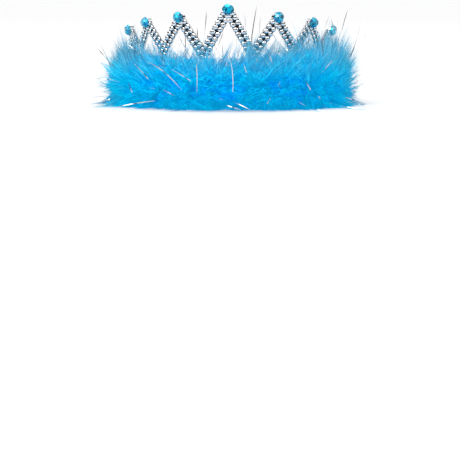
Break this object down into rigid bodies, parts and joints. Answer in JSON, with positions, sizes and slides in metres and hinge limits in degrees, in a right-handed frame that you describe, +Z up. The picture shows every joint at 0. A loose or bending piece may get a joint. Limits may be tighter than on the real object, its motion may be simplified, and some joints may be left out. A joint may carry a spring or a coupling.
{
  "type": "feather tiara",
  "caption": "Silver moulded tiara with pointed openwork arches, a round turquoise gem on each tip and a turquoise marabou feather roll around its band",
  "frame": {"origin": "On the surface the tiara rests on, under the middle of its outline", "axes": "+X towards the right of the picture, +Y from the arches to the back of the head, +Z up at rest"},
  "size_m": [0.176, 0.155, 0.0741],
  "materials": {
    "silver_plating": "gloss",
    "turquoise_gem": "gloss",
    "marabou_feather": "matte"
  },
  "bodies": {
    "root": {"tiara_frame": "silver_plating", "gem_1": "turquoise_gem", "gem_2": "turquoise_gem", "gem_3": "turquoise_gem", "gem_4": "turquoise_gem", "gem_5": "turquoise_gem", "gem_6": "turquoise_gem", "gem_7": "turquoise_gem", "feather_boa": "marabou_feather"}
  },
  "joints": []
}
